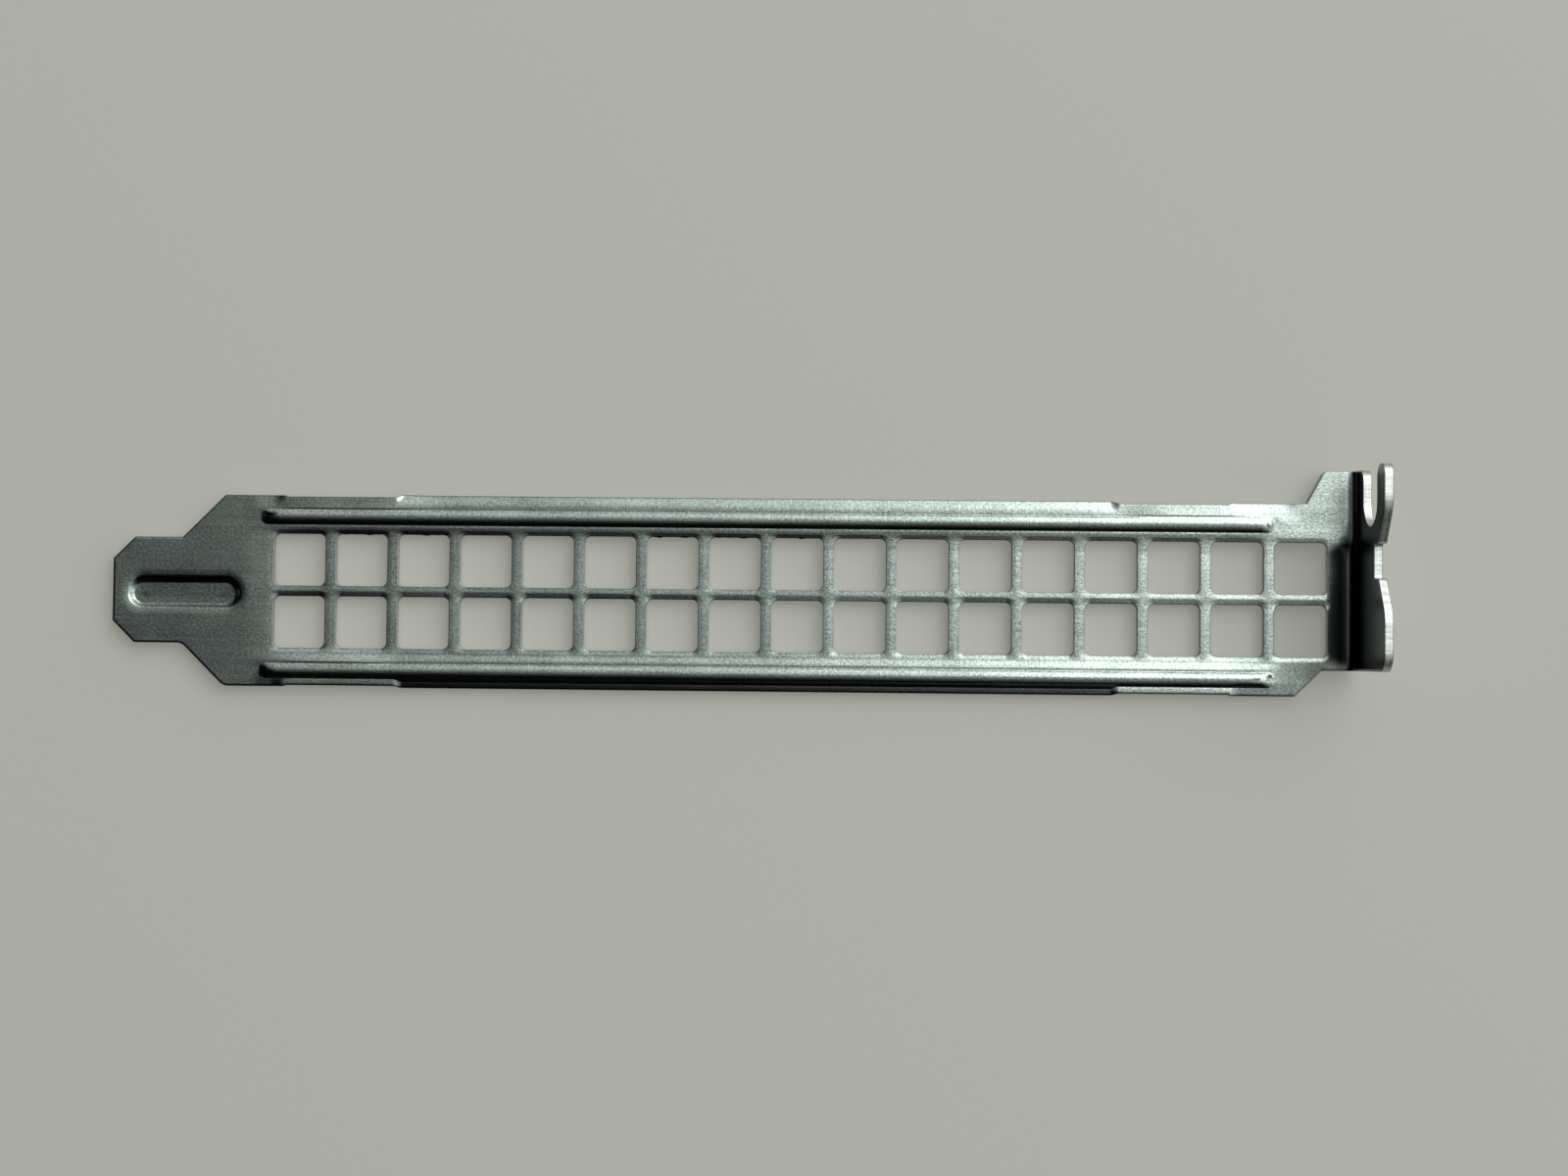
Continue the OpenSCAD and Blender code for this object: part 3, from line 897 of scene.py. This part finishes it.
def pressedSheet(zinc, cut):
    columns = meshColumns()
    loop = resample(roundedLoop(blankCorners()), columns)
    cells, cellFaces = ventField(zinc)
    cells = tornRims(cells)
    print("vent field:", len(cells), "points")
    flat, faces = blankMesh(cells, cellFaces, loop, columns)
    print("flat blank:", len(flat), "points,", len(faces), "faces")

    border = pastField(flat) >= -tolerance
    toEdge = signedDistance(flat[border], loop)
    nearEdge = np.zeros(len(flat), bool)
    nearEdge[border] = toEdge < edgeBand
    front, frontNormal = layerNormals(flat, 1.0, loop, nearEdge)
    back, backNormal = layerNormals(flat, 0.0, loop, nearEdge)

    # walls: a few levels from the front rim through the thickness to the back rim
    rims = findRims(faces)
    onRim, following = rims[np.argsort(rims[:, 0])].T
    leading = rims[np.argsort(rims[:, 1]), 0]
    outward = toRight(flat[onRim] - flat[leading], flat[following] - flat[onRim])
    cuts = [layer(flat[onRim] - outward * setBack, share, loop, nearEdge[onRim])
            for share, setBack in cutLevels]
    points = np.vstack([front, back] + cuts)
    count = len(flat)
    between = 2 * count + np.arange(len(cutLevels) * len(onRim)).reshape(len(cutLevels), -1)
    levels = np.vstack([onRim, between, onRim + count])
    starts, ends = np.searchsorted(onRim, rims).T
    walls = np.stack([levels[:-1, ends], levels[:-1, starts], levels[1:, starts], levels[1:, ends]], 2)
    walls = walls.transpose(1, 0, 2).reshape(-1, 4)

    backFaces = [tuple(i + count for i in reversed(f)) for f in faces]
    allFaces = faces + backFaces + walls.tolist()
    normals = [frontNormal[list(f)] for f in faces]
    normals += [-backNormal[list(reversed(f))] for f in faces]
    normals.append(wallNormals(points, walls, rims))
    mesh = bpy.data.meshes.new("pressedSheet")
    mesh.from_pydata((points * mm).tolist(), [], [tuple(int(i) for i in f) for f in allFaces])
    mesh.materials.append(zinc)
    mesh.materials.append(cut)
    mesh.polygons.foreach_set("material_index", [0] * 2 * len(faces) + [1] * len(walls))
    mesh.polygons.foreach_set("use_smooth", [True] * len(allFaces))

    # the place of each point on the flat sheet, for grain that follows the rolling direction
    place = [np.insert(flat, 2, height, 1) for height in (sheet["thickness"], 0)]
    place += [np.insert(flat[onRim], 2, share * sheet["thickness"], 1) for share, setBack in cutLevels]
    attribute = mesh.attributes.new("sheetPlace", "FLOAT_VECTOR", "POINT")
    attribute.data.foreach_set("vector", (np.vstack(place) * mm).astype(np.float32).ravel())
    # Painted shade: a dark band along every cut, round the vents and along the outline. On the front face it
    # also holds the painted shade in the fold, on the flange and on the rib's high wall. The back face gets
    # only the band.
    rim = np.clip(1 - ventGap(flat) / sheet["paintedShade"], 0, 1)
    rim[border] = np.maximum(rim[border], np.clip(1 - toEdge / sheet["edgeShadeWidth"], 0, 1))
    paintedDark = np.ones(len(points))
    paintedDark[:count] = np.maximum(rim, foldAndWallShade(flat))
    paintedDark[count:2 * count] = rim
    attribute = mesh.attributes.new("paintedShade", "FLOAT", "POINT")
    attribute.data.foreach_set("value", paintedDark.astype(np.float32))
    mesh.validate()
    mesh.normals_split_custom_set(np.vstack(normals).tolist())
    mesh.update()
    print("pressed sheet:", len(mesh.vertices), "points,", sum(len(f) - 2 for f in allFaces), "triangles")
    return newObject("pressed_sheet", mesh)


# Finishes.

grain = {
    # scale in noise steps per millimetre along, across and through the sheet, detail and roughness
    "Crystals": ((3.4, 4.2, 3.8), 3.0, 0.8),
    "Lines": ((0.05, 2.6, 2.6), 3.0, 0.7),
    "Clouds": ((0.28, 0.42, 0.4), 3.0, 0.55),
    "Tears": ((4.0, 4.0, 0.5), 2.0, 0.6),
}
zincLook = {
    "dark": (0.15, 0.187, 0.168, 1.0),
    "light": (0.455, 0.537, 0.487, 1.0),
    "shadeRange": 0.25,         # the grain's shade at which dark and light are reached
    # the colour of the painted shade, and how far it is mixed in
    "paintedDark": (0.05, 0.055, 0.05, 1.0),
    "paintedShade": 0.85,
    "roughness": 0.195,
    "roughnessChange": 0.05,
    "crystals": 1.1,
    "lines": 0.35,
    "clouds": 0.35,
    "bump": 0.014,              # mm
}
cutLook = {
    "dark": (0.30, 0.325, 0.31, 1.0),
    "light": (0.58, 0.61, 0.59, 1.0),
    "shadeRange": 0.3,
    "roughness": 0.4,
    "crystals": 0.5,
    "lines": 0.0,
    "clouds": 0.3,
    "bump": 0.02,
}


def newMaterial(name):
    material = bpy.data.materials.new(name)
    material.use_nodes = True
    tree = material.node_tree
    return material, tree, tree.nodes["Principled BSDF"]


def readAttribute(tree, name, output):
    return addNode(tree, "ShaderNodeAttribute", {}, attribute_name=name).outputs[output]


def addNoise(tree, place, stretch, detail, roughness):
    # Noise round 0, with its own scale along, across and through the sheet.
    scaled = addNode(tree, "ShaderNodeVectorMath", {0: place, 1: [s / mm for s in stretch]},
                     operation="MULTIPLY")
    noise = addNode(tree, "ShaderNodeTexNoise", {"Vector": scaled.outputs[0], "Scale": 1.0,
                                                 "Detail": detail, "Roughness": roughness})
    return addMath(tree, "SUBTRACT", noise.outputs["Fac"], 0.5)


def platingGroup():
    # Fine zinc crystals, rolling lines along the sheet and slow clouds. All three lie around 0.
    inputs = {"Place": "Vector", "Crystals": "Float", "Lines": "Float", "Clouds": "Float"}
    outputs = {"Shade": "Float", "Height": "Float"}
    tree, given, out = newGroup("platedGrain", "ShaderNodeTree", inputs, outputs)
    parts = []
    for name in ("Crystals", "Lines", "Clouds"):
        noise = addNoise(tree, given.outputs["Place"], *grain[name])
        parts.append(addMath(tree, "MULTIPLY", noise, given.outputs[name]))
    fine = addMath(tree, "ADD", parts[0], parts[1])
    setInputs(out, {"Shade": addMath(tree, "ADD", fine, parts[2]), "Height": fine})
    return tree


def addPlating(tree, group, look):
    values = {name: look[name.lower()] for name in ("Crystals", "Lines", "Clouds")}
    values["Place"] = readAttribute(tree, "sheetPlace", "Vector")
    return addNode(tree, "ShaderNodeGroup", values, node_tree=group)


def mixColors(tree, share, first, second):
    colors = {"Factor": share, "A": first, "B": second}
    return addNode(tree, "ShaderNodeMix", colors, data_type="RGBA").outputs["Result"]


def addShade(tree, value, look):
    # From the look's dark to its light color.
    limits = {"Value": value, "From Min": -look["shadeRange"], "From Max": look["shadeRange"]}
    share = addNode(tree, "ShaderNodeMapRange", limits).outputs["Result"]
    return mixColors(tree, share, look["dark"], look["light"])


def addBump(tree, height, look):
    values = {"Strength": 1.0, "Distance": look["bump"] * mm, "Height": height}
    return addNode(tree, "ShaderNodeBump", values).outputs["Normal"]


def zincMaterial(group):
    material, tree, shader = newMaterial("zincPlate")
    plating = addPlating(tree, group, zincLook)
    shade = plating.outputs["Shade"]
    # Painted shade: the base colour goes toward a dark colour along the cuts, in the fold, on the flange and
    # on the rib's high wall.
    shadeMix = addMath(tree, "MULTIPLY", readAttribute(tree, "paintedShade", "Fac"), zincLook["paintedShade"])
    change = addMath(tree, "MULTIPLY", shade, zincLook["roughnessChange"])
    setInputs(shader, {
        "Base Color": mixColors(tree, shadeMix, addShade(tree, shade, zincLook), zincLook["paintedDark"]),
        "Metallic": 1.0,
        "Roughness": addMath(tree, "SUBTRACT", zincLook["roughness"], change),
        "Normal": addBump(tree, plating.outputs["Height"], zincLook),
    })
    return material


def cutMaterial(group):
    # Sheared edges: fine tear lines run through the thickness.
    material, tree, shader = newMaterial("shearedSteel")
    plating = addPlating(tree, group, cutLook)
    tears = addNoise(tree, readAttribute(tree, "sheetPlace", "Vector"), *grain["Tears"])
    height = addMath(tree, "ADD", plating.outputs["Height"], tears)
    setInputs(shader, {
        "Base Color": addShade(tree, height, cutLook),
        "Metallic": 1.0,
        "Roughness": cutLook["roughness"],
        "Normal": addBump(tree, height, cutLook),
    })
    return material


# Floor, light and camera.

stageLook = {
    "floorColor": (0.41, 0.415, 0.37, 1.0),
    "floorGlow": 0.5,                   # pale foam lets light through from all sides
    "floorRoughness": 0.9,
    "floorSize": 3.0,
    "lightSize": 1.3,
    "lightCorner": (0.065, 0.051, 0.55), # the softbox's near corner
    "lightRadiance": 2.11,
    "worldBright": 2.3,
    "worldTurn": 37.8,                  # degrees from +X to where the room is brightest
    "worldRise": 18.3,
    "worldFrom": -0.18,                 # cosine of the angle to there where it is dark
    "worldTo": 1.32,                    # and where it would be at its brightest
    "focalLength": 48.62,
    "sensorWidth": 36,
    "cameraPlace": (0.002968, -0.005325, 0.203585),
    "cameraTurn": (1.7135, 1.1783, 0.575),
}


def mixShaders(tree, share, first, second, out):
    mix = addNode(tree, "ShaderNodeMixShader", {0: share, 1: first, 2: second})
    setInputs(tree.nodes[out], {"Surface": mix.outputs["Shader"]})


def makeFloor():
    half = stageLook["floorSize"] / 2
    mesh = bpy.data.meshes.new("floor")
    corners = [(x, y, cadLow.z) for x, y in ((-half, -half), (half, -half), (half, half), (-half, half))]
    mesh.from_pydata(corners, [], [(0, 1, 2, 3)])
    floor = newObject("floor", mesh)
    material, tree, shader = newMaterial("paleFloor")
    color = stageLook["floorColor"]
    setInputs(shader, {"Base Color": color, "Roughness": stageLook["floorRoughness"]})
    glow = addNode(tree, "ShaderNodeEmission", {"Color": color})
    ray = addNode(tree, "ShaderNodeLightPath", {})
    seen = addMath(tree, "MAXIMUM", ray.outputs["Is Camera Ray"], ray.outputs["Is Glossy Ray"])
    share = addMath(tree, "MULTIPLY", seen, stageLook["floorGlow"])
    mixShaders(tree, share, shader.outputs["BSDF"], glow.outputs["Emission"], "Material Output")
    mesh.materials.append(material)


def makeLight():
    size = stageLook["lightSize"]
    x, y, z = stageLook["lightCorner"]
    lamp = bpy.data.lights.new("softbox", "AREA")
    lamp.shape = "SQUARE"
    lamp.size = size
    lamp.energy = stageLook["lightRadiance"] * math.pi * size * size
    newObject("softbox", lamp).location = (x + size / 2, y + size / 2, z)


def makeRoom():
    # A room that is bright on one side. Past the floor's edge the camera sees a plain backdrop.
    world = bpy.data.worlds.new("studio")
    bpy.context.scene.world = world
    world.use_nodes = True
    tree = world.node_tree
    turn = math.radians(stageLook["worldTurn"])
    tilt = math.radians(stageLook["worldRise"])
    brightest = (math.cos(tilt) * math.cos(turn), math.cos(tilt) * math.sin(turn), math.sin(tilt))
    where = addNode(tree, "ShaderNodeTexCoord", {}).outputs["Generated"]
    toward = addNode(tree, "ShaderNodeVectorMath", {0: where, 1: brightest}, operation="DOT_PRODUCT")
    strength = addNode(tree, "ShaderNodeMapRange", {
        "Value": toward.outputs["Value"],
        "From Min": stageLook["worldFrom"],
        "From Max": stageLook["worldTo"],
        "To Max": stageLook["worldBright"],
    }, interpolation_type="SMOOTHSTEP")
    room = tree.nodes["Background"]
    setInputs(room, {"Color": (1.0, 1.0, 1.0, 1.0), "Strength": strength.outputs["Result"]})
    backdrop = addNode(tree, "ShaderNodeBackground", {"Color": stageLook["floorColor"]})
    seen = addNode(tree, "ShaderNodeLightPath", {}).outputs["Is Camera Ray"]
    mixShaders(tree, seen, room.outputs["Background"], backdrop.outputs["Background"], "World Output")


def makeCamera():
    lens = bpy.data.cameras.new("camera")
    lens.sensor_width = stageLook["sensorWidth"]
    lens.lens = stageLook["focalLength"]
    lens.clip_start = 0.01
    camera = newObject("camera", lens)
    camera.location = stageLook["cameraPlace"]
    camera.rotation_euler = [math.radians(a) for a in stageLook["cameraTurn"]]
    bpy.context.scene.camera = camera


makeCamera()
makeFloor()
makeLight()
makeRoom()
print("floor, light and camera in place")
plating = platingGroup()
piece = pressedSheet(zincMaterial(plating), cutMaterial(plating))
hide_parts("slot_cover")
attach(piece, "root")
bpy.context.scene.view_settings.view_transform = "Standard"
